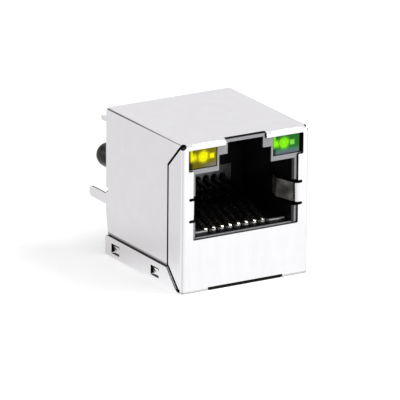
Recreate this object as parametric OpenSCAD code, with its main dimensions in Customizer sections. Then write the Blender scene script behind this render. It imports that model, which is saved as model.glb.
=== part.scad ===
// Shielded vertical RJ45 board jack with two indicator LEDs, in millimetres.
// The port opens towards -Y, and the circuit board lies on the XZ plane behind the jack.
// The origin is midway between the two locating pegs, on the face of the board.

/* [Shield] */
// Width across the side panels
shell_w = 15.8; // [15.6:0.1:17]
// Height from the cover's underside to the top panel
shell_h = 16.6; // [16.6:0.1:18]
// Depth from the front panel to the rear edges of the panels
shell_d = 16.2; // [16:0.1:19]
// Thickness of the sheet metal
sheet_t = 0.2; // [0.16:0.01:0.24]
// Outside radius of the folds
fold_r = 0.45; // [0.4:0.01:0.55]
// Depth of the front panel's side flanges
flange_d = 2.88; // [2:0.1:4]
// Width of the seam between flange and side panel
seam_w = 0.29; // [0.15:0.01:0.4]
// Depth below the top panel at which the upper slanted seam starts
seam_top_drop = 2.85; // [2.6:0.05:4]
// Height at which the lower slanted seam leaves the upright one
seam_low_h = 2.6; // [2.5:0.05:4]
// Radius of the relief hole where three folds meet
relief_r = 0.38; // [0.3:0.01:0.42]
// Distance of that hole's middle inside the top and side faces
relief_in = 0.2; // [0.1:0.01:0.22]
// Distance of that hole's middle behind the front face
relief_back = 0.28; // [0.2:0.01:0.3]
// Gap between the shield's rear edges and the board
board_gap = 0.3; // [0.2:0.05:0.6]

/* [Front opening] */
// Width of the opening beside the port
port_open_w = 13.06; // [12.6:0.02:13.4]
// Strip of housing that shows below the port's floor
sill_show = 0.14; // [0.05:0.01:0.3]
// How far the LED windows reach past the LEDs' outer sides
led_window_side = 0.32; // [0.1:0.02:0.4]
// Strip of the LED's top edge that the front panel covers
led_cover = 0.14; // [0:0.01:0.3]
// Width of the notch over the latch slot
notch_w = 5.06; // [4.8:0.02:5.4]
// How far the notch reaches into the top panel
notch_d = 0.6; // [0.5:0.02:0.9]

/* [Grounding springs] */
// Width of the springs that touch the plug
spring_w = 2.1; // [1.5:0.05:2.4]
// Height of the springs' middle above the port's floor
spring_rise = 3.235; // [3:0.005:4]
// Width of the relief slots beside each spring
spring_slot_w = 0.33; // [0.2:0.01:0.4]
// Distance from the middle to the ends of the relief slots
spring_slot_end = 7.06; // [6.9:0.01:7.2]
// Distance from the middle to the springs' fold
spring_fold_x = 6.63; // [6.6:0.01:6.7]
// Bend radius on the middle of the spring's thickness
spring_fold_r = 0.3; // [0.25:0.01:0.4]
// Inward slope of the springs
spring_slope = 17; // [10:1:20]
// Length of the sloping leaf
spring_leaf = 2.5; // [2:0.1:3]
// Length of the returning lip
spring_lip = 1.2; // [0.8:0.1:1.5]

/* [Bottom cover] */
// Height of the cover's side strips
strip_h = 2.33; // [2:0.01:2.4]
// Running gap between strip and side panel
strip_gap = 0.02; // [0.01:0.01:0.05]
// Length of the windows in the strips
window_l = 1.7; // [1.5:0.05:2]
// Height of the windows in the strips
window_w = 1.1; // [1:0.02:1.2]
// Height of the windows' middle
window_h = 1.15; // [1.1:0.01:1.2]
// Distances of the windows' middles behind the front panel
window_d = [5.35, 13.75];
// Width of the front tongue
tongue_w = 9; // [6:0.1:11]
// Clearance round the tongue in the front panel's notch
tongue_gap = 0.15; // [0.05:0.01:0.2]
// Width of the rear lip that holds the housing
lip_w = 6; // [4:0.5:8]
// Height of the rear lip
lip_h = 1.6; // [1.2:0.1:2]

/* [Solder tails] */
// Width of the shield's solder tails
shield_tail_w = 1.18; // [0.8:0.02:1.4]
// Height of the shield tails' middle
shield_tail_h = 6.3; // [5.8:0.05:7]
// Length of the shield tails beyond the board's face
shield_tail_len = 3.3; // [2:0.1:3.6]
// Length of the contacts and LED leads beyond the board's face
tail_len = 3; // [2:0.1:3.4]

/* [Port] */
// Width of the plug cavity
cavity_w = 11.96; // [11.84:0.02:12.1]
// Depth of the cavity's floor below the top panel
floor_drop = 10.6; // [10.3:0.05:10.7]
// Height of the cavity from floor to ceiling
cavity_h = 7.15; // [7:0.05:7.3]
// Depth of the cavity behind the front panel
cavity_d = 10.9; // [10.8:0.05:11.4]
// Width of the lower step of the latch slot
key_w = 6.48; // [6.3:0.02:6.6]
// Height of the lower step of the latch slot
key_h = 1.72; // [1.5:0.02:1.9]
// Width of the upper step of the latch slot
latch_w = 4.4; // [4:0.05:4.7]
// Thickness of the wall that the latch hooks behind
latch_wall = 1.6; // [1.2:0.1:2]
// Length of the pocket that the latch rises into
latch_pocket_d = 8; // [6:0.5:10]
// Chamfer round the mouth of the cavity
lead_in = 0.2; // [0.1:0.02:0.25]
// Depth of the floor's front lip
front_lip = 1.45; // [1.35:0.05:1.6]

/* [Housing] */
// Side clearance between housing and shield
side_fit = 0.1; // [0.08:0.01:0.15]
// Clearance between housing and shield at the top, front and underside
face_fit = 0.05; // [0.04:0.01:0.08]
// Thickness of the roof over latch slot and LEDs
roof_t = 0.23; // [0.2:0.01:0.3]
// Radius along the housing's outer edges, inside the shield's folds
edge_r = 0.2; // [0.16:0.01:0.25]
// Radius of the board pegs
peg_r = 1.36; // [1.3:0.02:1.36]
// Distance between the board pegs
peg_pitch = 12.6; // [12.5:0.05:12.65]
// Height of the board pegs' axes above the underside
peg_h = 10.45; // [10:0.05:11]
// Length of the board pegs' straight part beyond the board's face
peg_straight = 1.9; // [1.4:0.05:2]
// Size of the square standoff pads
pad_w = 1.2; // [1:0.05:1.3]
// Step from the standoff pads down to the housing's rear face
pad_step = 0.58; // [0.5:0.01:0.8]

/* [Contacts] */
// Pitch of the contacts
contact_pitch = 1.016; // [1:0.004:1.02]
// Width of a contact
contact_w = 0.4; // [0.3:0.02:0.46]
// Thickness of a contact
contact_t = 0.3; // [0.2:0.02:0.34]
// Depth of the contact bends' front behind the front panel
contact_front = 2.1; // [2:0.01:2.2]
// Radius of the front bend on the middle of the thickness
contact_bend_r = 0.64; // [0.6:0.01:0.68]
// Depth of the lower leg's middle below the floor
leg_drop = 1.15; // [1.1:0.01:1.2]
// Slope of the contact beam near the bend
beam_slope = 20; // [18:1:20]
// Slope of the contact beam near its tip
tip_slope = 13; // [10:1:14]
// Length of the steep part of the beam
beam_l = 4.3; // [4:0.1:4.4]
// Length of the flat part of the beam
tip_l = 4.2; // [4:0.05:4.25]
// Distance between the two rows of tails
row_pitch = 2.54; // [2:0.02:2.54]

/* [Carrier] */
// Width of the carrier's rear block
carrier_w = 9.4; // [9:0.1:9.5]
// Gap between the carrier's tongue and each side wall of the cavity
tongue_side = 0.12; // [0.1:0.02:0.3]
// Height of the tongue's step above the port's floor
tongue_step = 0.16; // [0.1:0.02:0.2]
// Thickness of the carrier's tongue
carrier_tongue_t = 1.9; // [1.8:0.05:2]
// Height of the carrier's rear block
carrier_block_h = 5.6; // [5.2:0.1:6]
// Clearance between carrier and housing
carrier_fit = 0.05; // [0.03:0.01:0.08]
// Width of the slots in the front comb
comb_w = 0.56; // [0.52:0.02:0.64]
// Length of the slots in the front comb
comb_l = 2.1; // [1.8:0.1:2.6]
// Width of the arched slots in the rear comb
arch_w = 0.82; // [0.7:0.02:0.86]
// Height of the arches' tops above the port's floor
arch_h = 2.98; // [2.9:0.01:3.05]

/* [LEDs] */
// Width of an LED
led_w = 3.3; // [3:0.05:3.35]
// Height of an LED
led_h = 2.35; // [2:0.01:2.36]
// Length of an LED's moulded body
led_l = 5.5; // [4.5:0.1:7]
// Thickness of the bar of housing below the LEDs
led_bar = 0.53; // [0.4:0.01:0.55]
// Thickness of the wall between LED and latch slot
led_wall = 0.23; // [0.2:0.01:0.3]
// Clearance round an LED in its pocket
led_fit = 0.04; // [0.03:0.01:0.06]
// Depth of an LED's face behind the housing's front face
led_recess = 0; // [0:0.02:0.2]
// Pitch of an LED's leads
led_lead_pitch = 2.5; // [2.3:0.02:2.54]
// Thickness of an LED's leads
led_lead_t = 0.45; // [0.4:0.01:0.5]
// Depth of the leads below the middle of the LED
led_lead_drop = 0.45; // [0.3:0.05:0.6]

/* [Hidden] */

$fn = 64;
past = 1;                 // how far a cut runs past the face that it opens
weld = 0.01;              // how far the straights of a formed strip run into its bends
contacts = 8;

// Places in the row's frame
front_y = -shell_d - board_gap;
rear_y = -board_gap;
base_z = -peg_h;
top_z = base_z + shell_h;
shell_x = shell_w / 2;
strip_x = shell_x + strip_gap + sheet_t;
housing_x = shell_x - sheet_t - side_fit;
housing_front_y = front_y + sheet_t + face_fit;
housing_rear_y = -pad_step;
housing_top_z = top_z - sheet_t - face_fit;
housing_low_z = base_z + sheet_t + face_fit;
floor_z = top_z - floor_drop;
ceiling_z = floor_z + cavity_h;
key_z = ceiling_z + key_h;
slot_top_z = housing_top_z - roof_t;
seam_y = flange_d + seam_w / 2;
spring_z = floor_z + spring_rise;

// LEDs
led_in_x = key_w / 2 + led_wall + led_fit;
led_x = led_in_x + led_w / 2;
led_low_z = ceiling_z + led_bar + led_fit;
led_mid_z = led_low_z + led_h / 2;
led_face_y = housing_front_y + led_recess;
led_lead_z = led_mid_z - led_lead_drop;

// Contacts
leg_z = floor_z - leg_drop;
bend_y = front_y + contact_front + contact_t / 2 + contact_bend_r;
tongue_top_z = floor_z + tongue_step;
carrier_low_z = tongue_top_z - carrier_tongue_t;
carrier_top_z = carrier_low_z + carrier_block_h;
carrier_front_y = front_y + front_lip + carrier_fit;

function mid_x(i) = (i - (contacts + 1) / 2) * contact_pitch;
function led_side(colour) = colour == "yellow" ? -1 : 1;

// ---------------------------------------------------------------- helpers

// Draws its children, and again mirrored to the other side
module both_sides() {
    children();
    mirror([1, 0, 0]) children();
}

// Extrudes a profile drawn in (X, Z) from one Y to another
module along_y(from, to) {
    translate([0, to, 0]) rotate([90, 0, 0]) linear_extrude(to - from) children();
}

// Extrudes a profile drawn in (Y, Z) from one X to another
module along_x(from, to) {
    translate([from, 0, 0]) rotate([90, 0, 90]) linear_extrude(to - from) children();
}

// Extrudes a profile drawn in (X, Y) from one Z to another
module along_z(from, to) {
    translate([0, 0, from]) linear_extrude(to - from) children();
}

// Rectangle between two corners
module rect(low, high) {
    translate(low) square([high[0] - low[0], high[1] - low[1]]);
}

// Block between two corners
module block(low, high) {
    translate(low) cube([high[0] - low[0], high[1] - low[1], high[2] - low[2]]);
}

// What rounding takes off a corner at the given point. to gives the signs of the corner's outward way
module corner_bite(at, r, to) {
    translate(at) scale([to[0], to[1]]) difference() {
        translate([-r, -r]) square(r + past);
        translate([-r, -r]) circle(r);
    }
}

// Rectangle with all corners rounded
module round_rect(low, high, r) {
    difference() {
        rect(low, high);
        corner_bite(low, r, [-1, -1]);
        corner_bite([high[0], low[1]], r, [1, -1]);
        corner_bite([low[0], high[1]], r, [-1, 1]);
        corner_bite(high, r, [1, 1]);
    }
}

// Sector of a ring about the origin, from one angle over a sweep of less than 180 degrees
module ring_sector(inner, outer, from, sweep) {
    reach = outer * 1.4;
    intersection() {
        difference() {
            circle(outer);
            circle(inner);
        }
        polygon(concat([[0, 0]], [for (k = [0:4]) let (a = from + sweep * k / 4) [reach * cos(a), reach * sin(a)]]));
    }
}

// Side view of a formed strip of thickness t, from the origin along +X. Each step is
// [straight length, turn to the left in degrees, bend radius on the middle of the strip]
module formed_strip(steps, t, i = 0) {
    run = steps[i][0];
    turn = steps[i][1];
    r = steps[i][2];
    translate([-weld, -t / 2]) square([run + 2 * weld, t]);
    if (turn != 0) translate([run, sign(turn) * r]) {
        ring_sector(r - t / 2, r + t / 2, turn > 0 ? -90 : 90, turn);
        rotate(turn) translate([0, -sign(turn) * r]) formed_strip(steps, t, i + 1);
    }
}

// ---------------------------------------------------------------- shield shell

// Open-backed box that the blank folds up into, with rounded folds. grow is 0 outside and -sheet_t inside
module fold_volume(grow) {
    x = shell_x + grow;
    y = front_y - grow;
    z = top_z + grow;
    r = fold_r + grow;
    rear = rear_y - grow * past / sheet_t;
    low = base_z + grow * past / sheet_t;
    intersection() {
        along_y(y, rear) difference() {
            rect([-x, low], [x, z]);
            corner_bite([x, z], r, [1, 1]);
            corner_bite([-x, z], r, [-1, 1]);
        }
        along_x(-x, x) difference() {
            rect([y, low], [rear, z]);
            corner_bite([y, z], r, [-1, 1]);
        }
        along_z(low, z) difference() {
            rect([-x, y], [x, rear]);
            corner_bite([x, y], r, [1, -1]);
            corner_bite([-x, y], r, [-1, -1]);
        }
    }
}

// Front opening in (X, Z): port, LED windows and the notch over the latch slot
module opening_profile() {
    corner_r = 0.15;
    port_x = port_open_w / 2;
    window_x = led_x + led_w / 2 + led_window_side;
    window_low = led_low_z - led_fit - 0.14;
    round_rect([-port_x, floor_z - sill_show], [port_x, window_low + 2 * corner_r], corner_r);
    rect([-port_x, floor_z + corner_r], [port_x, window_low + 2 * corner_r]);
    round_rect([-window_x, window_low], [window_x, led_low_z + led_h - led_cover], corner_r);
    both_sides() translate([spring_slot_end - spring_slot_w / 2, spring_z])
        for (side = [-1, 1]) translate([0, side * (spring_w + spring_slot_w) / 2]) {
            circle(d = spring_slot_w);
            translate([-past, -spring_slot_w / 2]) square([past, spring_slot_w]);
        }
}

// Seam between flange and side panel, drawn in (Y, Z), down to the underside
module seam_profile() {
    top_point = [front_y + seam_y, top_z - seam_top_drop];
    low_point = [front_y + seam_y, base_z + seam_low_h];
    rect([top_point[0] - seam_w / 2, low_point[1]], [top_point[0] + seam_w / 2, top_point[1]]);
    translate(top_point) {
        circle(d = seam_w);
        rotate(135) translate([0, -seam_w / 2]) square([seam_y * 1.42, seam_w]);
    }
    translate(low_point) {
        circle(d = seam_w);
        rotate(225) translate([0, -seam_w / 2]) square([seam_low_h * 1.42 + seam_w, seam_w]);
    }
}

// Leaf spring beside the port, folded in from the front panel
module grounding_spring() {
    root = spring_slot_end - spring_slot_w / 2;
    steps = [[root - spring_fold_x, 90 - spring_slope, spring_fold_r],
             [spring_leaf, 2 * spring_slope, 0.5],
             [spring_lip, 0, 0]];
    translate([root, front_y + sheet_t / 2, spring_z]) mirror([1, 0, 0])
        translate([0, 0, -spring_w / 2]) linear_extrude(spring_w) formed_strip(steps, sheet_t);
}

// Tab lanced out of the side panel, which the cover's window snaps over
lance_w = window_l - 0.55;
lance_l = window_w - 0.25;
lance_low_h = window_h - window_w / 2 + 0.14;
lance_forward = 0.12;      // how far the lance stands in front of the window's middle
lance_angle = asin((strip_gap + sheet_t) / lance_l) - 1;

module lance(depth) {
    root = 0.1;
    translate([shell_x, front_y + depth - lance_forward, base_z + lance_low_h]) rotate([0, lance_angle, 0])
        translate([-sheet_t, -lance_w / 2, -root]) cube([sheet_t, lance_w, lance_l + root]);
}

module lance_hole(depth) {
    slit = 0.08;
    low = base_z + lance_low_h;
    front = front_y + depth - lance_forward - lance_w / 2 - slit;
    block([shell_x - sheet_t - past, front, low + slit],
          [shell_x + past, front_y + depth + window_l / 2 - slit, low + lance_l + slit]);
}

// Rear edge of a side panel, in (Y, Z): the cuts beside the solder tail, the peg's notch and the tapered foot
module rear_edge_cuts() {
    tail_top = base_z + shield_tail_h + shield_tail_w / 2;
    notch = 0.42;
    notch_low = tail_top + 0.3;
    rect([rear_y - notch, notch_low], [rear_y + past, notch_low + notch]);
    polygon([[rear_y, tail_top - shield_tail_w - 0.7], [rear_y + past, tail_top - shield_tail_w - 0.7],
             [rear_y + past, base_z], [rear_y - 0.5, base_z], [rear_y - 0.5, base_z + strip_h]]);
}

// Solder tail in line with the side panel
module shield_tail() {
    low = base_z + shield_tail_h - shield_tail_w / 2;
    tip_r = shield_tail_w * 0.42;
    along_x(shell_x - sheet_t, shell_x) difference() {
        rect([rear_y - past, low], [shield_tail_len, low + shield_tail_w]);
        corner_bite([shield_tail_len, low], tip_r, [1, -1]);
        corner_bite([shield_tail_len, low + shield_tail_w], tip_r, [1, 1]);
    }
}

module shield_shell() {
    color([0.86, 0.86, 0.87]) {
        difference() {
            fold_volume(0);
            fold_volume(-sheet_t);
            along_y(front_y - past, front_y + fold_r) opening_profile();
            block([-notch_w / 2, front_y - past, ceiling_z + key_h], [notch_w / 2, front_y + notch_d, top_z + past]);
            block([-tongue_w / 2 - tongue_gap, front_y - past, base_z - past],
                  [tongue_w / 2 + tongue_gap, front_y + fold_r, base_z + sheet_t + tongue_gap]);
            block([-shell_x - past, front_y + 0.45, base_z - past],
                  [shell_x + past, rear_y + past, base_z + 2 * sheet_t + strip_gap + 0.03]);
            along_x(-shell_x - past, -shell_x + fold_r) seam_profile();
            along_x(shell_x - fold_r, shell_x + past) seam_profile();
            along_x(-shell_x - past, -shell_x + sheet_t + 0.01) rear_edge_cuts();
            along_x(shell_x - sheet_t - 0.01, shell_x + past) rear_edge_cuts();
            both_sides() {
                translate([shell_x - relief_in, front_y + relief_back, top_z - relief_in]) sphere(relief_r);
                for (depth = window_d) lance_hole(depth);
            }
        }
        both_sides() {
            grounding_spring();
            shield_tail();
            for (depth = window_d) lance(depth);
        }
    }
}

// ---------------------------------------------------------------- bottom cover

cover_fold_r = 2 * sheet_t;
cover_rear_y = rear_y - 0.25;

module bottom_cover() {
    side_start = seam_y - seam_low_h + seam_w;     // where the slanted seam meets the underside
    strip_top = base_z + strip_h;
    in_x = strip_x - sheet_t;
    color([0.84, 0.84, 0.85]) {
        difference() {
            along_y(front_y + side_start, cover_rear_y) difference() {
                rect([-strip_x, base_z], [strip_x, strip_top]);
                corner_bite([strip_x, base_z], cover_fold_r, [1, -1]);
                corner_bite([-strip_x, base_z], cover_fold_r, [-1, -1]);
                difference() {
                    rect([-in_x, base_z + sheet_t], [in_x, strip_top + past]);
                    corner_bite([in_x, base_z + sheet_t], cover_fold_r - sheet_t, [1, -1]);
                    corner_bite([-in_x, base_z + sheet_t], cover_fold_r - sheet_t, [-1, -1]);
                }
            }
            for (side = [-1, 1]) along_x(side * strip_x - past, side * strip_x + past) {
                polygon([[front_y + side_start - past, base_z - 0.01], [front_y + side_start, base_z - 0.01],
                         [front_y + side_start + strip_h + past, strip_top + past],
                         [front_y + side_start - past, strip_top + past]]);
                corner_bite([cover_rear_y, strip_top], 0.3, [1, 1]);
                for (depth = window_d)
                    round_rect([front_y + depth - window_l / 2, base_z + window_h - window_w / 2],
                               [front_y + depth + window_l / 2, base_z + window_h + window_w / 2], 0.08);
            }
            block([-lip_w / 2 - 0.3, cover_rear_y - fold_r + 0.2, base_z - past],
                  [lip_w / 2 + 0.3, cover_rear_y + past, base_z + sheet_t + 0.01]);
        }
        block([-shell_x + fold_r, front_y + sheet_t + face_fit, base_z],
              [shell_x - fold_r, front_y + side_start, base_z + sheet_t]);
        block([-tongue_w / 2, front_y, base_z], [tongue_w / 2, front_y + sheet_t + face_fit, base_z + sheet_t]);
        rear_lip();
    }
}

// The plate's rear edge, folded up behind the housing
module rear_lip() {
    mid_r = fold_r - sheet_t / 2;
    steps = [[past, 90, mid_r], [lip_h - fold_r, 0, 0]];
    translate([-lip_w / 2, rear_y - fold_r - past, base_z + sheet_t / 2])
        rotate([90, 0, 90]) linear_extrude(lip_w) formed_strip(steps, sheet_t);
}

// ---------------------------------------------------------------- port housing

peg_x = peg_pitch / 2;

// Locating peg: a straight shank with a round nose
module board_peg() {
    translate([peg_x, peg_straight, 0]) {
        rotate([90, 0, 0]) cylinder(r = peg_r, h = peg_straight);
        sphere(peg_r);
    }
    // inside the boss, so that peg and boss are one
    translate([peg_x, past, 0]) rotate([90, 0, 0]) cylinder(r = peg_r / 2, h = past + edge_r);
}

// Boss that carries a peg and seats on the board
module peg_boss() {
    boss_r = peg_r + 0.45;
    difference() {
        translate([peg_x, 0, 0]) rotate([90, 0, 0]) cylinder(r = boss_r, h = pad_step + edge_r);
        block([housing_x, -past, -boss_r - past], [peg_x + boss_r + past, past, boss_r + past]);
    }
}

module standoff_pads() {
    pad_x = housing_x - 0.2 - pad_w;
    for (z = [housing_low_z + 0.4, ceiling_z - 0.6])
        block([pad_x, housing_rear_y - 0.2, z], [pad_x + pad_w, 0, z + pad_w]);
}

// Plug cavity with its chamfered mouth
module cavity() {
    x = cavity_w / 2;
    block([-x, front_y, floor_z], [x, front_y + cavity_d, ceiling_z]);
    inner_y = housing_front_y + lead_in;
    outer_y = housing_front_y - past;
    along_z(floor_z, ceiling_z) polygon([[-x, inner_y], [-x - lead_in - past, outer_y],
                                         [x + lead_in + past, outer_y], [x, inner_y]]);
    low_in = lead_in * 0.6;
    along_x(-x, x) polygon([[housing_front_y + low_in, floor_z], [outer_y, floor_z - low_in - past],
                            [outer_y, floor_z + past], [housing_front_y + low_in, floor_z + past]]);
}

// Stepped latch slot, and the pocket behind the wall that the latch hooks on
module latch_slot() {
    block([-key_w / 2, front_y, ceiling_z - past], [key_w / 2, front_y + cavity_d, key_z]);
    block([-latch_w / 2, front_y, ceiling_z], [latch_w / 2, front_y + latch_pocket_d, slot_top_z]);
    block([-key_w / 2, housing_front_y + latch_wall, ceiling_z], [key_w / 2, front_y + latch_pocket_d, slot_top_z]);
}

// Pocket for one LED, with a wider mouth and a hole for each lead
module led_pocket() {
    mouth_l = 1.2;
    low = [led_in_x - led_fit, front_y, led_low_z - led_fit];
    top = led_low_z + led_h + led_fit;
    block(low, [led_x + led_w / 2 + led_fit, led_face_y + led_l, top]);
    block(low, [led_x + led_w / 2 + led_window_side + 0.1, led_face_y + mouth_l, top]);
    for (side = [-1, 1]) {
        x = led_x + side * led_lead_pitch / 2;
        half = led_lead_t / 2 + led_fit;
        block([x - half, led_face_y + led_l - past, led_lead_z - half], [x + half, past, led_lead_z + half]);
    }
}

// Relief in the side wall that lets a grounding spring bend away
module spring_relief() {
    z = spring_z;
    half = spring_w / 2 + spring_slot_w + 0.1;
    block([0, front_y, z - half], [spring_fold_x + sheet_t + 0.12, front_y + spring_leaf + spring_lip + 1.5, z + half]);
}

// Room for the contact carrier, which slides in from the rear
module carrier_slot() {
    x = carrier_w / 2 + carrier_fit;
    tongue_x = cavity_w / 2 - tongue_side + carrier_fit;
    block([-tongue_x, front_y + front_lip, carrier_low_z - carrier_fit],
          [tongue_x, front_y + cavity_d, ceiling_z - past]);
    block([-x, front_y + cavity_d - past, carrier_low_z - carrier_fit], [x, past, carrier_top_z + carrier_fit]);
}

// Pockets open at the rear, which keep the moulding's walls even
core_rib = 0.8;
core_count = 4;
core_d = 9;

module core_pockets() {
    low = housing_low_z + core_rib;
    high = carrier_low_z - carrier_fit - core_rib;
    width = (2 * housing_x - (core_count + 1) * core_rib) / core_count;
    for (k = [0:core_count - 1]) {
        x = -housing_x + core_rib + k * (width + core_rib);
        block([x, housing_rear_y - core_d, low], [x + width, past, high]);
    }
}

// Outside of the housing's block, with rounded edges
module housing_block() {
    difference() {
        along_y(housing_front_y, housing_rear_y)
            round_rect([-housing_x, housing_low_z], [housing_x, housing_top_z], edge_r);
        along_x(-housing_x - past, housing_x + past) for (y = [housing_front_y, housing_rear_y])
            for (z = [housing_low_z, housing_top_z])
                corner_bite([y, z], edge_r, [y == housing_rear_y ? 1 : -1, z == housing_top_z ? 1 : -1]);
        along_z(housing_low_z - past, housing_top_z + past) for (side = [-1, 1])
            corner_bite([side * housing_x, housing_front_y], edge_r, [side, -1]);
    }
}

module port_housing() {
    color([0.09, 0.09, 0.10]) {
        difference() {
            union() {
                housing_block();
                both_sides() peg_boss();
                block([-notch_w / 2 + 0.1, housing_front_y, slot_top_z],
                      [notch_w / 2 - 0.1, front_y + notch_d - 0.15, top_z - 0.13]);
            }
            cavity();
            latch_slot();
            both_sides() {
                led_pocket();
                spring_relief();
            }
            carrier_slot();
            core_pockets();
        }
        both_sides() {
            board_peg();
            standoff_pads();
        }
    }
}

// ---------------------------------------------------------------- contacts

// Side view of a contact from the end of its tail, with the port's front towards +X
module contact_profile(upper_row) {
    jog_r = 0.4;
    jog_y = front_y + cavity_d + 2.1;
    beam = [[bend_run(upper_row, jog_y, jog_r), 180 - beam_slope, contact_bend_r],
            [beam_l, beam_slope - tip_slope, 3],
            [tip_l, 0, 0]];
    jog = [[tail_len - jog_y - jog_r, -90, jog_r], [row_pitch - 2 * jog_r, 90, jog_r]];
    point_l = 0.6;
    difference() {
        formed_strip(upper_row ? concat(jog, beam) : beam, contact_t);
        for (side = [-1, 1]) scale([1, side]) polygon([[-past, contact_t / 2 + past], [-past, contact_t / 4 - 0.25 * past],
            [0, contact_t / 4], [point_l, contact_t / 2], [point_l, contact_t / 2 + past]]);
    }
}

// Length of the lower leg up to the front bend
function bend_run(upper_row, jog_y, jog_r) = upper_row ? jog_y - jog_r - bend_y : tail_len - bend_y;

module contact_shape(i) {
    upper_row = i % 2 == 0;
    translate([mid_x(i) + contact_w / 2, tail_len, leg_z + (upper_row ? row_pitch : 0)])
        rotate([90, 0, -90]) linear_extrude(contact_w) contact_profile(upper_row);
}

module contact(i) {
    color([0.85, 0.70, 0.38]) contact_shape(i);
}

// ---------------------------------------------------------------- contact carrier

// Arched slot of the rear comb, in (X, Z)
module arch_profile() {
    spring_line = floor_z + arch_h - arch_w / 2;
    rect([-arch_w / 2, tongue_top_z - 0.4], [arch_w / 2, spring_line]);
    translate([0, spring_line]) circle(d = arch_w);
}

module contact_carrier() {
    x = carrier_w / 2;
    tongue_x = cavity_w / 2 - tongue_side;
    wall_y = front_y + cavity_d + carrier_fit;      // where the tongue ends and the rear block begins
    rear_comb_d = 1.2;
    bevel = 0.1;
    color([0.12, 0.12, 0.13]) difference() {
        union() {
            along_x(-tongue_x, tongue_x) difference() {
                rect([carrier_front_y, carrier_low_z], [front_y + cavity_d - carrier_fit, tongue_top_z]);
                corner_bite([carrier_front_y, tongue_top_z], bevel, [-1, 1]);
            }
            block([-x, front_y + cavity_d - 2 * carrier_fit, carrier_low_z], [x, wall_y, tongue_top_z]);
            block([-x, front_y + cavity_d, carrier_low_z], [x, housing_rear_y, carrier_top_z]);
        }
        for (i = [1:contacts]) {
            block([mid_x(i) - comb_w / 2, carrier_front_y - past, carrier_low_z - past],
                  [mid_x(i) + comb_w / 2, carrier_front_y + comb_l, tongue_top_z + past]);
            along_y(front_y + cavity_d - past, front_y + cavity_d + rear_comb_d)
                translate([mid_x(i), 0]) arch_profile();
            contact_shape(i);
        }
    }
}

// ---------------------------------------------------------------- LEDs

cup_r = 0.62;
cup_rise = 0.25;           // of the cup's middle above the middle of the lens
cup_depth = 0.95;          // from the lens face to the cup's rim
anvil_l = 1.3;

// Draws its children in an LED's own frame: lens face on y = 0, middle of the lens on the Y axis
module led_place(colour) {
    translate([led_side(colour) * led_x, led_face_y, led_mid_z]) children();
}

module led_chip_shape() {
    translate([-0.16, cup_depth + 0.24, cup_rise - 0.16]) cube([0.32, 0.16, 0.32]);
}

// Square lead from the LED's frame back through the board, at one side
module led_lead(side, from) {
    x = side * led_lead_pitch / 2;
    half = led_lead_t / 2;
    block([x - half, from, -led_lead_drop - half], [x + half, tail_len - led_face_y, -led_lead_drop + half]);
}

// Lead with the reflector cup that the chip is bonded into
module led_cathode_shape() {
    half = led_lead_t / 2;
    difference() {
        union() {
            translate([0, cup_depth, cup_rise]) rotate([-90, 0, 0]) cylinder(r = cup_r, h = 0.8);
            block([-led_lead_pitch / 2 - half, cup_depth + 0.6, -led_lead_drop - half],
                  [cup_r - 0.1, cup_depth + anvil_l, half]);
            led_lead(-1, cup_depth + anvil_l - 0.1);
        }
        translate([0, cup_depth - 0.01, cup_rise]) rotate([-90, 0, 0])
            cylinder(r1 = cup_r - 0.06, r2 = 0.26, h = 0.41);
    }
}

// Lead with the post that the bond wire runs to
module led_anode_shape() {
    half = led_lead_t / 2;
    post_x = led_lead_pitch / 2 - half - 0.12;
    block([post_x, cup_depth + 0.1, -led_lead_drop - half],
          [led_lead_pitch / 2 + half, cup_depth + 0.75, cup_rise + 0.05]);
    led_lead(1, cup_depth + 0.7);
}

module led_lens(colour) {
    tint = colour == "yellow" ? [0.80, 0.72, 0.02] : [0.20, 0.72, 0.25];
    color(tint, 0.6) led_place(colour) difference() {
        along_y(0, led_l) round_rect([-led_w / 2, -led_h / 2], [led_w / 2, led_h / 2], 0.12);
        led_cathode_shape();
        led_anode_shape();
        led_chip_shape();
    }
}

module led_cathode(colour) {
    color([0.80, 0.80, 0.78]) led_place(colour) led_cathode_shape();
}

module led_anode(colour) {
    color([0.80, 0.80, 0.78]) led_place(colour) led_anode_shape();
}

module led_chip(colour) {
    color([0.95, 0.95, 0.60]) led_place(colour) led_chip_shape();
}

// ---------------------------------------------------------------- nodes

shield_shell();
bottom_cover();
port_housing();
contact_carrier();
contact(1);  // contact_1
contact(2);  // contact_2
contact(3);  // contact_3
contact(4);  // contact_4
contact(5);  // contact_5
contact(6);  // contact_6
contact(7);  // contact_7
contact(8);  // contact_8
led_lens("yellow");  // yellow_led_lens
led_cathode("yellow");  // yellow_led_cathode
led_anode("yellow");  // yellow_led_anode
led_chip("yellow");  // yellow_led_chip
led_lens("green");  // green_led_lens
led_cathode("green");  // green_led_cathode
led_anode("green");  // green_led_anode
led_chip("green");  // green_led_chip
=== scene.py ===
# A shielded RJ45 jack that stands on its board, with two LEDs in the corners of its port. It is dressed round
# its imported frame, in metres. The port opens towards -Y, and the board's face lies in the plane y = 0.
import math

import bpy
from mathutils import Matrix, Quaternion, Vector


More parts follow.
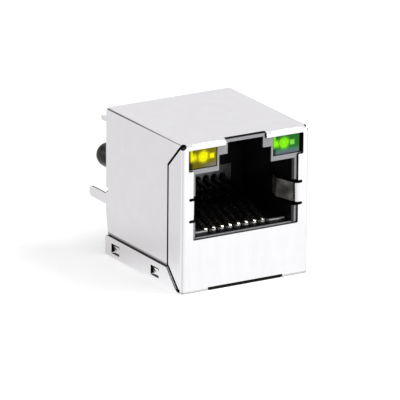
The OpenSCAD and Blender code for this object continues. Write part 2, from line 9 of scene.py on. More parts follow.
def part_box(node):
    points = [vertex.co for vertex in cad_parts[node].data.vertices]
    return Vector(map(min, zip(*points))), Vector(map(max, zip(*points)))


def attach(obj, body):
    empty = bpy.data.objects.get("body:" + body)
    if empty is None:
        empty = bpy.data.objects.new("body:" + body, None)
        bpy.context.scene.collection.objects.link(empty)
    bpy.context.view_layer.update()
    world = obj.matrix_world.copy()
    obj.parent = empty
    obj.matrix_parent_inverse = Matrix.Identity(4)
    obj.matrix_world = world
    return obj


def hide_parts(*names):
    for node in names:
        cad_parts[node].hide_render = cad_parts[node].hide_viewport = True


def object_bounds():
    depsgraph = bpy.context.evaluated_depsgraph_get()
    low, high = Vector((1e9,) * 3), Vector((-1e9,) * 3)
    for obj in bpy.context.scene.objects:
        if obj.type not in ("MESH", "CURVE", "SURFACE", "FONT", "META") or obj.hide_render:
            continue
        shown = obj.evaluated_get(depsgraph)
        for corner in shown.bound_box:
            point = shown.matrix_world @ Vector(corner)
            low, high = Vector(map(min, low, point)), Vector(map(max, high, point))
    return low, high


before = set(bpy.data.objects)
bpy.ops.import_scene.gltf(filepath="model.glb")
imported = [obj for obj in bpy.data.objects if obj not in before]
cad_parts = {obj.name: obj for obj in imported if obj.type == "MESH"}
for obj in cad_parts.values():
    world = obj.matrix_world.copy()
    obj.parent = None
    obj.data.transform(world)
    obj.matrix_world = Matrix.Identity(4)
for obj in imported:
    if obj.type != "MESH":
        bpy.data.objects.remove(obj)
cad_low, cad_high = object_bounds()
MM = 0.001

# ---------------------------------------------------------------- camera
# A long lens from the front left, a little above the jack, as in a parts catalogue. It is aimed by a point of
# the jack that lies a little right of, and above, the middle of the view.
CAMERA_AZIMUTH = math.radians(-30.88)
CAMERA_ELEVATION = math.radians(17.70)
CAMERA_ROLL = math.radians(0.465)
CAMERA_DISTANCE = 732.8 * MM
CAMERA_LENS = 612.0                 # focal length in millimetres, as Blender counts it
AIM = Vector((-0.05, -8.65, -2.60)) * MM
AIM_RIGHT = 0.839 * MM
AIM_UP = 0.597 * MM

camera_data = bpy.data.cameras.new("camera")
camera = bpy.data.objects.new("camera", camera_data)
bpy.context.scene.collection.objects.link(camera)
bpy.context.scene.camera = camera
camera_data.lens = CAMERA_LENS
camera_data.clip_start = 0.05
camera_data.clip_end = 20.0
backwards = Vector((math.sin(CAMERA_AZIMUTH) * math.cos(CAMERA_ELEVATION),
                    -math.cos(CAMERA_AZIMUTH) * math.cos(CAMERA_ELEVATION),
                    math.sin(CAMERA_ELEVATION)))
rightwards = Vector((math.cos(CAMERA_AZIMUTH), math.sin(CAMERA_AZIMUTH), 0.0))
upwards = backwards.cross(rightwards)
view_middle = AIM - rightwards * AIM_RIGHT - upwards * AIM_UP
camera.location = view_middle + backwards * CAMERA_DISTANCE
camera.rotation_mode = "QUATERNION"
camera.rotation_quaternion = Quaternion(backwards, CAMERA_ROLL) @ (-backwards).to_track_quat("-Z", "Y")

# ---------------------------------------------------------------- studio
# White paper under the jack and pale walls round it. The walls are the world: white in front, and a little
# grey behind, where the top and sides mirror them. One black card stands high behind the jack, and draws the
# dark line in its upper folds.
WHITE = "#ffffff"
WALL_LIGHT = 0.62                   # of the walls as light, which the lamps add to
WALL_BEHIND = "#ecebec"             # what the top mirrors
WHITE_TO, GREY_FROM = 0.1, 0.5      # backward part of a mirrored ray, between white and greyer walls
BLACK_CARD = "#303030"
CARD_TOWARDS = Vector((-0.31, 0.82, 0.48)).normalized()
CARD_REACH = 8.0                    # degrees from the card's middle to its edge
CARD_SOFTNESS = 9.0                 # degrees over which it fades out
SMOOTH = {"interpolation_type": "SMOOTHSTEP"}
COLOUR_MIX = {"data_type": "RGBA"}


def add_node(tree, kind, settings=None, links=None):
    """One node with its settings, and its inputs linked or set."""
    node = tree.nodes.new(kind)
    for name, value in (settings or {}).items():
        setattr(node, name, value)
    for name, value in (links or {}).items():
        if isinstance(value, bpy.types.NodeSocket):
            tree.links.new(value, node.inputs[name])
        else:
            node.inputs[name].default_value = value
    return node


def colour(code, alpha=1.0):
    """An sRGB hex colour as linear numbers."""
    levels = [int(code[i:i + 2], 16) / 255 for i in (1, 3, 5)]
    return [v / 12.92 if v <= 0.04045 else ((v + 0.055) / 1.055) ** 2.4 for v in levels] + [alpha]


bpy.context.scene.view_settings.view_transform = "Standard"
world = bpy.data.worlds.new("white_studio")
bpy.context.scene.world = world
world.use_nodes = True
tree = world.node_tree
tree.nodes.clear()
rays = add_node(tree, "ShaderNodeLightPath").outputs
seen = add_node(tree, "ShaderNodeMath", {"operation": "MAXIMUM"},
                {0: rays["Is Camera Ray"], 1: rays["Is Glossy Ray"]})
seen = add_node(tree, "ShaderNodeMath", {"operation": "MAXIMUM"},
                {0: seen.outputs[0], 1: rays["Is Transmission Ray"]})
strength = add_node(tree, "ShaderNodeMapRange", None,
                    {"Value": seen.outputs[0], "To Min": WALL_LIGHT, "To Max": 1.0})
towards = add_node(tree, "ShaderNodeTexCoord").outputs["Generated"]
near_card = add_node(tree, "ShaderNodeVectorMath", {"operation": "DOT_PRODUCT"},
                     {0: towards, 1: CARD_TOWARDS})
card = add_node(tree, "ShaderNodeMapRange", SMOOTH,
                {"Value": near_card.outputs["Value"],
                 "From Min": math.cos(math.radians(CARD_REACH + CARD_SOFTNESS)),
                 "From Max": math.cos(math.radians(CARD_REACH))})
card = add_node(tree, "ShaderNodeMath", {"operation": "MULTIPLY"},
                {0: card.outputs["Result"], 1: rays["Is Glossy Ray"]})
to_back = add_node(tree, "ShaderNodeSeparateXYZ", None, {"Vector": towards}).outputs["Y"]
to_back = add_node(tree, "ShaderNodeMapRange", None,
                   {"Value": to_back, "From Min": WHITE_TO, "From Max": GREY_FROM})
to_back = add_node(tree, "ShaderNodeMath", {"operation": "MULTIPLY"},
                   {0: to_back.outputs["Result"], 1: rays["Is Glossy Ray"]})
wall = add_node(tree, "ShaderNodeMix", COLOUR_MIX,
                {"Factor": to_back.outputs[0], "A": colour(WHITE), "B": colour(WALL_BEHIND)})
wall = add_node(tree, "ShaderNodeMix", COLOUR_MIX,
                {"Factor": card.outputs[0], "A": wall.outputs["Result"], "B": colour(BLACK_CARD)})
shown = add_node(tree, "ShaderNodeBackground", None,
                 {"Color": wall.outputs["Result"], "Strength": strength.outputs["Result"]})
add_node(tree, "ShaderNodeOutputWorld", None, {"Surface": shown.outputs[0]})


def softbox(name, place, width, height, watts):
    """A studio lamp, aimed at the middle of the jack."""
    data = bpy.data.lights.new(name, "AREA")
    data.shape = "RECTANGLE"
    data.size = width
    data.size_y = height
    data.energy = watts
    lamp = bpy.data.objects.new(name, data)
    bpy.context.scene.collection.objects.link(lamp)
    lamp.location = place
    lamp.rotation_euler = (AIM - Vector(place)).to_track_quat("-Z", "Y").to_euler()


softbox("low_key_front_right", (0.150, -0.270, 0.030), width=0.20, height=0.07, watts=0.56)
softbox("top_light", (0.157, -0.097, 0.260), width=0.10, height=0.10, watts=0.30)

# The paper is white to the camera. In the metal it greys towards the back, and more so close beside the jack,
# where the jack shades it.
PAPER = "#e6e6e6"
PAPER_SIZE = 3.0
PAPER_GLOW = 0.45                   # added for the camera alone, so that the paper runs into the walls
PAPER_BEHIND = "#e8e7e8"            # what the sides mirror
PAPER_BEHIND_Y = (-12 * MM, 4 * MM)
PAPER_BESIDE = "#d6d4d4"            # what the sides mirror low down
PAPER_BESIDE_Y = (-9 * MM, 0.0)
SHADE_MIDDLE = Vector((0.0, -8.0 * MM, cad_low.z))
SHADE_REACH = (24 * MM, 12 * MM)    # from its middle: where the shade begins, and where it is full
bpy.ops.object.select_all(action="DESELECT")
bpy.ops.mesh.primitive_plane_add(size=PAPER_SIZE, location=(0.0, 0.0, cad_low.z))
floor = bpy.context.object
floor.name = "floor"
bpy.ops.object.transform_apply(location=True, rotation=True, scale=True)
paper = bpy.data.materials.new("white_studio_paper")
paper.use_nodes = True
tree = paper.node_tree
tree.nodes.clear()
rays = add_node(tree, "ShaderNodeLightPath").outputs
matte = add_node(tree, "ShaderNodeBsdfDiffuse", None, {"Color": colour(PAPER)})
glow = add_node(tree, "ShaderNodeEmission", None, {"Color": colour(WHITE), "Strength": PAPER_GLOW})
both = add_node(tree, "ShaderNodeAddShader", None, {0: matte.outputs[0], 1: glow.outputs[0]})
place = add_node(tree, "ShaderNodeTexCoord").outputs["Object"]
depth = add_node(tree, "ShaderNodeSeparateXYZ", None, {"Vector": place}).outputs["Y"]
to_back = add_node(tree, "ShaderNodeMapRange", None,
                   {"Value": depth, "From Min": PAPER_BEHIND_Y[0], "From Max": PAPER_BEHIND_Y[1]})
shade = add_node(tree, "ShaderNodeMix", COLOUR_MIX,
                 {"Factor": to_back.outputs["Result"], "A": colour(WHITE), "B": colour(PAPER_BEHIND)})
from_jack = add_node(tree, "ShaderNodeVectorMath", {"operation": "DISTANCE"}, {0: place, 1: SHADE_MIDDLE})
near = add_node(tree, "ShaderNodeMapRange", SMOOTH,
                {"Value": from_jack.outputs["Value"], "From Min": SHADE_REACH[0], "From Max": SHADE_REACH[1]})
beside = add_node(tree, "ShaderNodeMapRange", None,
                  {"Value": depth, "From Min": PAPER_BESIDE_Y[0], "From Max": PAPER_BESIDE_Y[1]})
near = add_node(tree, "ShaderNodeMath", {"operation": "MULTIPLY"},
                {0: near.outputs["Result"], 1: beside.outputs["Result"]})
shade = add_node(tree, "ShaderNodeMix", COLOUR_MIX,
                 {"Factor": near.outputs[0], "A": shade.outputs["Result"], "B": colour(PAPER_BESIDE)})
white = add_node(tree, "ShaderNodeEmission", None, {"Color": shade.outputs["Result"], "Strength": 1.0})
mirrored = add_node(tree, "ShaderNodeMath", {"operation": "MAXIMUM"},
                    {0: rays["Is Glossy Ray"], 1: rays["Is Transmission Ray"]})
for_camera = add_node(tree, "ShaderNodeMixShader", None,
                      {0: rays["Is Camera Ray"], 1: matte.outputs[0], 2: both.outputs[0]})
for_all = add_node(tree, "ShaderNodeMixShader", None,
                   {0: mirrored.outputs[0], 1: for_camera.outputs[0], 2: white.outputs[0]})
add_node(tree, "ShaderNodeOutputMaterial", None, {"Surface": for_all.outputs[0]})
floor.data.materials.append(paper)

# ---------------------------------------------------------------- shield
# The upper half of the shield: cold-rolled steel strip, 0.2 mm thick, bright nickel plated, blanked and
# folded in a progressive die. Its faces keep the fine grain of the rolls. Its sheared edges are bare, and
# painted near black as the shade in the gaps along them.
SHEET_T = 0.2 * MM
CUT_EDGE_R = 0.05 * MM              # radius that tumbling and plating leave on a sheared edge
RELIEF_R = 0.38 * MM                # of the round relief where three folds meet
RELIEF_REACH = 1.02 * RELIEF_R
RELIEF_AT = Vector((7.7, -16.22, 5.95)) * MM


def new_material(name):
    """A node material with its Principled shader, linked to the output."""
    material = bpy.data.materials.new(name)
    material.use_nodes = True
    material.node_tree.nodes.clear()
    shader = add_node(material.node_tree, "ShaderNodeBsdfPrincipled")
    add_node(material.node_tree, "ShaderNodeOutputMaterial", None, {"Surface": shader.outputs[0]})
    return material, material.node_tree, shader


def own_mesh(node, piece_name):
    """A copy of a CAD node as one closed mesh."""
    piece = bpy.data.objects.new(piece_name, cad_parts[node].data.copy())
    bpy.context.scene.collection.objects.link(piece)
    bpy.ops.object.select_all(action="DESELECT")
    piece.select_set(True)
    bpy.context.view_layer.objects.active = piece
    bpy.ops.object.mode_set(mode="EDIT")
    bpy.ops.mesh.select_all(action="SELECT")
    bpy.ops.mesh.remove_doubles(threshold=0.0005 * MM)
    bpy.ops.mesh.dissolve_limited(angle_limit=math.radians(0.3))
    bpy.ops.object.mode_set(mode="OBJECT")
    piece.data.materials.clear()
    return piece


def mark_sheared_faces(piece, thickness, holes=()):
    """Gives the second material to the narrow faces that shearing left between the two skins of a sheet.

    Such a face is no wider than the sheet is thick, and most of its outline is a sharp edge. The faces within
    reach of a small hole's centre are marked too.
    """
    mesh = piece.data
    sharp_angle = math.radians(50)
    to_spare = 1.02
    mostly = 0.6
    edge_faces = {}
    for face in mesh.polygons:
        for key in face.edge_keys:
            edge_faces.setdefault(key, []).append(face)
    for face in mesh.polygons:
        lengths = {key: (mesh.vertices[key[0]].co - mesh.vertices[key[1]].co).length
                   for key in face.edge_keys}
        outline = sum(lengths.values())
        sharp = sum(lengths[key] for key in face.edge_keys
                    if any(other.normal.angle(face.normal, 0.0) > sharp_angle for other in edge_faces[key]))
        narrow = 2 * face.area < to_spare * thickness * outline
        in_hole = any(max((mesh.vertices[v].co - centre).length for v in face.vertices) < reach
                      for centre, reach in holes)
        if in_hole or (narrow and sharp > mostly * outline):
            face.material_index = 1


def round_edges(piece, edge_r, steps=2, material=-1):
    """Rounds the sharp edges of a piece a little, and keeps its flat faces flat in the light."""
    bpy.ops.object.select_all(action="DESELECT")
    piece.select_set(True)
    bpy.context.view_layer.objects.active = piece
    bevel = piece.modifiers.new("edges", "BEVEL")
    bevel.width = edge_r
    bevel.segments = steps
    bevel.material = material
    bevel.limit_method = "ANGLE"
    bevel.angle_limit = math.radians(40)
    bpy.ops.object.modifier_apply(modifier=bevel.name)
    bpy.ops.object.shade_smooth_by_angle(angle=math.radians(60))
    flat = piece.modifiers.new("flat_faces", "WEIGHTED_NORMAL")
    flat.weight = 100
    flat.keep_sharp = True
    bpy.ops.object.modifier_apply(modifier=flat.name)


# Bright nickel over the rolled strip: nearly white, with a satin grain, faint clouds and long shallow waves.
GRAIN_SPACING = 0.16 * MM           # drawn coarser than the real grain, which is too fine to show
ALONG_GRAIN = 0.03                  # how much the pattern is squeezed along the grain
WAVE_LENGTH = 5.0 * MM              # of the waves that coiling leaves in the strip
WAVE_HEIGHT = 0.02 * MM
CLOUD_SIZE = 1.4 * MM               # of the clouds in the plating
NICKEL = "#f6f5f7"
NICKEL_RUBBED = "#efeaea"
NICKEL_IN_SHADE = "#2b2827"         # where it mirrors a dark seam or shadow
plate, tree, shader = new_material("bright_nickel_on_rolled_steel")
place = add_node(tree, "ShaderNodeTexCoord").outputs["Object"]
spot = add_node(tree, "ShaderNodeSeparateXYZ", None, {"Vector": place}).outputs
facing = add_node(tree, "ShaderNodeNewGeometry").outputs["Normal"]
facing = add_node(tree, "ShaderNodeSeparateXYZ", None, {"Vector": facing}).outputs
# The grain runs back over the top and sides, and down the front.
over_top = add_node(tree, "ShaderNodeVectorMath", {"operation": "MULTIPLY"},
                    {0: place, 1: (1.0, ALONG_GRAIN, 1.0)})
down_front = add_node(tree, "ShaderNodeVectorMath", {"operation": "MULTIPLY"},
                      {0: place, 1: (1.0, 1.0, ALONG_GRAIN)})
on_front = add_node(tree, "ShaderNodeMath", {"operation": "ABSOLUTE"}, {0: facing["Y"]})
on_front = add_node(tree, "ShaderNodeMath", {"operation": "GREATER_THAN"}, {0: on_front.outputs[0], 1: 0.6})
along = add_node(tree, "ShaderNodeMix", {"data_type": "VECTOR"},
                 {"Factor": on_front.outputs[0], "A": over_top.outputs[0], "B": down_front.outputs[0]})
grain = add_node(tree, "ShaderNodeTexNoise", None,
                 {"Vector": along.outputs["Result"], "Scale": 1.0 / GRAIN_SPACING, "Detail": 2.0})
wave = add_node(tree, "ShaderNodeTexNoise", None,
                {"Vector": place, "Scale": 1.0 / WAVE_LENGTH, "Detail": 1.0})
cloud = add_node(tree, "ShaderNodeTexNoise", None,
                 {"Vector": place, "Scale": 1.0 / CLOUD_SIZE, "Detail": 4.0})
tone = add_node(tree, "ShaderNodeMapRange", None,
                {"Value": cloud.outputs["Fac"], "From Min": 0.3, "From Max": 0.7,
                 "To Min": 0.97, "To Max": 1.0})
bright = add_node(tree, "ShaderNodeMix", {"data_type": "RGBA", "blend_type": "MULTIPLY"},
                  {"Factor": 1.0, "A": colour(NICKEL), "B": tone.outputs["Result"]})

# The plug has rubbed the springs matt, in a space inside the port.
RUBBED_FROM_Y = -16.0 * MM
RUBBED_HALF_WIDTH = 6.6 * MM
RUBBED_MIDDLE_Z = -1.0 * MM
RUBBED_HALF_HEIGHT = 3.2 * MM
inside = add_node(tree, "ShaderNodeMath", {"operation": "GREATER_THAN"}, {0: spot["Y"], 1: RUBBED_FROM_Y})
off_middle = add_node(tree, "ShaderNodeMath", {"operation": "ABSOLUTE"}, {0: spot["X"]})
between = add_node(tree, "ShaderNodeMath", {"operation": "LESS_THAN"},
                   {0: off_middle.outputs[0], 1: RUBBED_HALF_WIDTH})
off_middle = add_node(tree, "ShaderNodeMath", {"operation": "SUBTRACT"}, {0: spot["Z"], 1: RUBBED_MIDDLE_Z})
off_middle = add_node(tree, "ShaderNodeMath", {"operation": "ABSOLUTE"}, {0: off_middle.outputs[0]})
level = add_node(tree, "ShaderNodeMath", {"operation": "LESS_THAN"},
                 {0: off_middle.outputs[0], 1: RUBBED_HALF_HEIGHT})
rubbed = add_node(tree, "ShaderNodeMath", {"operation": "MULTIPLY"},
                  {0: inside.outputs[0], 1: between.outputs[0]})
rubbed = add_node(tree, "ShaderNodeMath", {"operation": "MULTIPLY"},
                  {0: rubbed.outputs[0], 1: level.outputs[0]})
dulled = add_node(tree, "ShaderNodeMapRange", None,
                  {"Value": cloud.outputs["Fac"], "From Min": 0.35, "From Max": 0.65,
                   "To Min": 0.30, "To Max": 0.55})
dull = add_node(tree, "ShaderNodeMix", {"data_type": "RGBA", "blend_type": "MULTIPLY"},
                {"Factor": 1.0, "A": colour(NICKEL_RUBBED), "B": dulled.outputs["Result"]})
nickel = add_node(tree, "ShaderNodeMix", COLOUR_MIX,
                  {"Factor": rubbed.outputs[0], "A": bright.outputs["Result"], "B": dull.outputs["Result"]})

# A strip's breadth above the cover the side panels get a painted dark reflection of the seam, where the
# real panels bow in.
SEAM_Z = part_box("bottom_cover")[1].z
SEAM_REFLECTION_Z = (SEAM_Z + 0.42 * MM, SEAM_Z + 0.22 * MM)
SEAM_REFLECTION_FROM_Y = -13.6 * MM           # behind the flanges
SIDE_FACING = (0.9, 0.98)           # of the normal's X
SEAM_REFLECTION_SHADE = 0.62
over_seam = add_node(tree, "ShaderNodeMapRange", SMOOTH,
                     {"Value": spot["Z"], "From Min": SEAM_REFLECTION_Z[0], "From Max": SEAM_REFLECTION_Z[1]})
above_cover = add_node(tree, "ShaderNodeMath", {"operation": "GREATER_THAN"},
                       {0: spot["Z"], 1: SEAM_Z + 0.01 * MM})
on_side = add_node(tree, "ShaderNodeMath", {"operation": "ABSOLUTE"}, {0: facing["X"]})
on_side = add_node(tree, "ShaderNodeMapRange", None,
                   {"Value": on_side.outputs[0], "From Min": SIDE_FACING[0], "From Max": SIDE_FACING[1]})
on_panel = add_node(tree, "ShaderNodeMath", {"operation": "GREATER_THAN"}, {0: spot["Y"], 1: SEAM_REFLECTION_FROM_Y})
painted_seam_reflection = add_node(tree, "ShaderNodeMath", {"operation": "MULTIPLY"},
                 {0: over_seam.outputs["Result"], 1: above_cover.outputs[0]})
painted_seam_reflection = add_node(tree, "ShaderNodeMath", {"operation": "MULTIPLY"},
                 {0: painted_seam_reflection.outputs[0], 1: on_side.outputs["Result"]})
painted_seam_reflection = add_node(tree, "ShaderNodeMath", {"operation": "MULTIPLY"},
                 {0: painted_seam_reflection.outputs[0], 1: on_panel.outputs[0]})

# A faint line of painted shade runs down the outer side of each bend as it turns towards the front.
FOLD_SHADE_FROM = (-0.42, -0.60)        # of the normal's Y, as the bend turns from the side to the front
FOLD_SHADE_TO = (-0.75, -0.90)
FOLD_SHADE = 0.22
begun = add_node(tree, "ShaderNodeMapRange", SMOOTH,
                 {"Value": facing["Y"], "From Min": FOLD_SHADE_FROM[0], "From Max": FOLD_SHADE_FROM[1]})
not_past = add_node(tree, "ShaderNodeMapRange", SMOOTH,
                    {"Value": facing["Y"], "From Min": FOLD_SHADE_TO[1], "From Max": FOLD_SHADE_TO[0]})
painted_fold_shade = add_node(tree, "ShaderNodeMath", {"operation": "MULTIPLY"},
                  {0: begun.outputs["Result"], 1: not_past.outputs["Result"]})
painted_fold_shade = add_node(tree, "ShaderNodeMath", {"operation": "MULTIPLY"}, {0: painted_fold_shade.outputs[0], 1: FOLD_SHADE})

# The foot of the front mirrors the shadow it stands in.
FOOT_Z = (cad_low.z + 0.34 * MM, cad_low.z + 0.06 * MM)
FOOT_SHADE = 0.42
foot = add_node(tree, "ShaderNodeMapRange", SMOOTH,
                {"Value": spot["Z"], "From Min": FOOT_Z[0], "From Max": FOOT_Z[1], "To Max": FOOT_SHADE})
forward = add_node(tree, "ShaderNodeMath", {"operation": "LESS_THAN"}, {0: facing["Y"], 1: -0.3})
foot = add_node(tree, "ShaderNodeMath", {"operation": "MULTIPLY"},
                {0: foot.outputs["Result"], 1: forward.outputs[0]})

shade = add_node(tree, "ShaderNodeMath", {"operation": "MULTIPLY_ADD"},
                 {0: painted_seam_reflection.outputs[0], 1: SEAM_REFLECTION_SHADE, 2: painted_fold_shade.outputs[0]})
shade = add_node(tree, "ShaderNodeMath", {"operation": "ADD", "use_clamp": True},
                 {0: shade.outputs[0], 1: foot.outputs[0]})
nickel = add_node(tree, "ShaderNodeMix", COLOUR_MIX,
                  {"Factor": shade.outputs[0], "A": nickel.outputs["Result"], "B": colour(NICKEL_IN_SHADE)})
tree.links.new(nickel.outputs["Result"], shader.inputs["Base Color"])
shader.inputs["Metallic"].default_value = 1.0
satin = add_node(tree, "ShaderNodeMapRange", None,
                 {"Value": grain.outputs["Fac"], "From Min": 0.3, "From Max": 0.7,
                  "To Min": 0.17, "To Max": 0.25})
scuffed = add_node(tree, "ShaderNodeMapRange", None,
                   {"Value": cloud.outputs["Fac"], "From Min": 0.3, "From Max": 0.7,
                    "To Min": 0.40, "To Max": 0.62})
rough = add_node(tree, "ShaderNodeMix", {"data_type": "FLOAT"},
                 {"Factor": rubbed.outputs[0], "A": satin.outputs["Result"], "B": scuffed.outputs["Result"]})
tree.links.new(rough.outputs["Result"], shader.inputs["Roughness"])
waved = add_node(tree, "ShaderNodeBump", None,
                 {"Height": wave.outputs["Fac"], "Distance": WAVE_HEIGHT, "Strength": 0.5})
ground = add_node(tree, "ShaderNodeBump", None,
                  {"Height": grain.outputs["Fac"], "Distance": 0.0004 * MM, "Strength": 0.5,
                   "Normal": waved.outputs["Normal"]})
tree.links.new(ground.outputs["Normal"], shader.inputs["Normal"])

# Sheared edges: a burnished band and a torn, darker one, with no plating, both painted near black as the
# shade in the gaps along them. This painted shade gives the windows and the seams their dark outline.
TEAR_SIZE = 0.08 * MM
BURNISHED_SHADED, TORN_SHADED = "#0b0a0a", "#262422"
bare_and_shaded, tree, shader = new_material("bare_sheared_edge_painted_shade")
place = add_node(tree, "ShaderNodeTexCoord").outputs["Object"]
torn = add_node(tree, "ShaderNodeTexNoise", None, {"Vector": place, "Scale": 1.0 / TEAR_SIZE, "Detail": 3.0})
tone = add_node(tree, "ShaderNodeMix", COLOUR_MIX,
                {"Factor": torn.outputs["Fac"], "A": colour(BURNISHED_SHADED), "B": colour(TORN_SHADED)})
tree.links.new(tone.outputs["Result"], shader.inputs["Base Color"])
shader.inputs["Metallic"].default_value = 1.0
shader.inputs["Roughness"].default_value = 0.36
ragged = add_node(tree, "ShaderNodeBump", None,
                  {"Height": torn.outputs["Fac"], "Distance": 0.01 * MM, "Strength": 0.6})
tree.links.new(ragged.outputs["Normal"], shader.inputs["Normal"])

shield = own_mesh("shield_shell", "folded_shield")
shield.data.materials.append(plate)
shield.data.materials.append(bare_and_shaded)
mark_sheared_faces(shield, SHEET_T, [(Vector((side * RELIEF_AT.x, RELIEF_AT.y, RELIEF_AT.z)), RELIEF_REACH)
                                     for side in (-1, 1)])
round_edges(shield, CUT_EDGE_R, material=1)
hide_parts("shield_shell")
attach(shield, "root")

# ---------------------------------------------------------------- bottom cover
# The second folded sheet, of the same strip. It is slid on from below, and the windows in its two side strips
# snap over the lances of the upper half.
cover = own_mesh("bottom_cover", "clip_on_bottom_cover")
cover.data.materials.append(plate)
cover.data.materials.append(bare_and_shaded)
mark_sheared_faces(cover, SHEET_T)
round_edges(cover, CUT_EDGE_R, material=1)
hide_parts("bottom_cover")
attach(cover, "root")

# ---------------------------------------------------------------- housing
# One moulding of glass-filled black PBT: the port, the latch slot, the LED pockets and the two board pegs.
# The mould is spark-eroded outside, which leaves a matt front, and polished in the port, which stays
# black. The front faces and the slope of the sill are painted pale, as the light that falls on them.
HOUSING_EDGE_R = 0.05 * MM
SILL_Z = -4.45 * MM                 # the floor of the port
UNDER_SILL_Z = (SILL_Z - 0.16 * MM, SILL_Z - 0.04 * MM)
SLOPE_Z = SILL_Z + 0.10 * MM        # the middle of the slope at the sill's front edge
SLOPE_REACH = 0.15 * MM
PAINTED_LIT_SKIN = ("#7d7d80", "#9c9c9f")
PAINTED_LIT_SKIN_Y = (-15.85 * MM, -16.1 * MM)     # from the black of the port out to the pale front
PORT_BLACK = ("#070708", "#101011")
PEG_BLACK_LIT = "#111113"
PEG_Y = (-0.6 * MM, -0.4 * MM)      # the pegs lie behind this
SEAM_BLACK = "#0a0a0a"
SEAM_REACH = 0.22 * MM
EROSION_SIZE = 0.12 * MM            # drawn coarser than the real pits, which are too fine to show
EROSION_DEPTH = 0.006 * MM
FLOW_SIZE = 2.5 * MM                # of the faint clouds that the flow of the melt leaves
pbt, tree, shader = new_material("black_moulded_pbt")
place = add_node(tree, "ShaderNodeTexCoord").outputs["Object"]
spot = add_node(tree, "ShaderNodeSeparateXYZ", None, {"Vector": place}).outputs
facing = add_node(tree, "ShaderNodeNewGeometry").outputs["Normal"]
facing = add_node(tree, "ShaderNodeSeparateXYZ", None, {"Vector": facing}).outputs
# Painted light: the faces that look forward are painted pale, as the light that falls on them.
on_face = add_node(tree, "ShaderNodeMapRange", SMOOTH,
                   {"Value": facing["Y"], "From Min": -0.75, "From Max": -0.95, "To Min": 0.12})
# Under the port only the slope of the sill is painted lit. The face below it is left dark, as the sheet's
# shadow.
over_sill = add_node(tree, "ShaderNodeMapRange", SMOOTH,
                     {"Value": spot["Z"], "From Min": UNDER_SILL_Z[0], "From Max": UNDER_SILL_Z[1],
                      "To Min": 0.06})
on_face = add_node(tree, "ShaderNodeMath", {"operation": "MULTIPLY"},
                   {0: on_face.outputs["Result"], 1: over_sill.outputs["Result"]})
on_slope = add_node(tree, "ShaderNodeMapRange", SMOOTH,
                    {"Value": facing["Z"], "From Min": 0.35, "From Max": 0.6})
near_sill = add_node(tree, "ShaderNodeMath", {"operation": "COMPARE"},
                     {0: spot["Z"], 1: SLOPE_Z, 2: SLOPE_REACH})
on_slope = add_node(tree, "ShaderNodeMath", {"operation": "MULTIPLY"},
                    {0: on_slope.outputs["Result"], 1: near_sill.outputs[0]})
lit = add_node(tree, "ShaderNodeMath", {"operation": "MAXIMUM"},
               {0: on_face.outputs[0], 1: on_slope.outputs[0]})
at_front = add_node(tree, "ShaderNodeMapRange", SMOOTH,
                    {"Value": spot["Y"], "From Min": PAINTED_LIT_SKIN_Y[0], "From Max": PAINTED_LIT_SKIN_Y[1]})
lit_front = add_node(tree, "ShaderNodeMapRange", None,
                {"Value": at_front.outputs["Result"], "To Max": lit.outputs[0]})
eroded = add_node(tree, "ShaderNodeTexNoise", None,
                  {"Vector": place, "Scale": 1.0 / EROSION_SIZE, "Detail": 3.0})
lit_skin = add_node(tree, "ShaderNodeMix", COLOUR_MIX,
                {"Factor": eroded.outputs["Fac"], "A": colour(PAINTED_LIT_SKIN[0]), "B": colour(PAINTED_LIT_SKIN[1])})
# Where the sheet lies on the plastic, its edge throws a black line: the light between them is soaked up.
seam = add_node(tree, "ShaderNodeAmbientOcclusion", {"samples": 8}, {"Distance": SEAM_REACH})
seam = add_node(tree, "ShaderNodeMapRange", SMOOTH,
                {"Value": seam.outputs["AO"], "From Min": 0.62, "From Max": 0.95})
lit_skin = add_node(tree, "ShaderNodeMix", COLOUR_MIX,
                {"Factor": seam.outputs["Result"], "A": colour(SEAM_BLACK), "B": lit_skin.outputs["Result"]})
flow = add_node(tree, "ShaderNodeTexNoise", None, {"Vector": place, "Scale": 1.0 / FLOW_SIZE, "Detail": 2.0})
black = add_node(tree, "ShaderNodeMix", COLOUR_MIX,
                 {"Factor": flow.outputs["Fac"], "A": colour(PORT_BLACK[0]), "B": colour(PORT_BLACK[1])})
# The pegs are painted a little lighter than the port, as the full light they stand in.
on_peg = add_node(tree, "ShaderNodeMapRange", None,
                  {"Value": spot["Y"], "From Min": PEG_Y[0], "From Max": PEG_Y[1]})
black = add_node(tree, "ShaderNodeMix", COLOUR_MIX,
                 {"Factor": on_peg.outputs["Result"], "A": black.outputs["Result"], "B": colour(PEG_BLACK_LIT)})
tone = add_node(tree, "ShaderNodeMix", COLOUR_MIX,
                {"Factor": lit_front.outputs["Result"], "A": black.outputs["Result"], "B": lit_skin.outputs["Result"]})
tree.links.new(tone.outputs["Result"], shader.inputs["Base Color"])
rough = add_node(tree, "ShaderNodeMapRange", None,
                 {"Value": lit_front.outputs["Result"], "To Min": 0.34, "To Max": 0.62})
tree.links.new(rough.outputs["Result"], shader.inputs["Roughness"])
shader.inputs["IOR"].default_value = 1.45
shader.inputs["Specular IOR Level"].default_value = 0.32    # the glass fibres at its skin dull the shine
pitted = add_node(tree, "ShaderNodeBump", None,
                  {"Height": eroded.outputs["Fac"], "Distance": EROSION_DEPTH, "Strength": 0.5})
tree.links.new(pitted.outputs["Normal"], shader.inputs["Normal"])

housing = own_mesh("port_housing", "moulded_port_housing")
round_edges(housing, HOUSING_EDGE_R)
housing.data.materials.append(pbt)
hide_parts("port_housing")
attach(housing, "root")

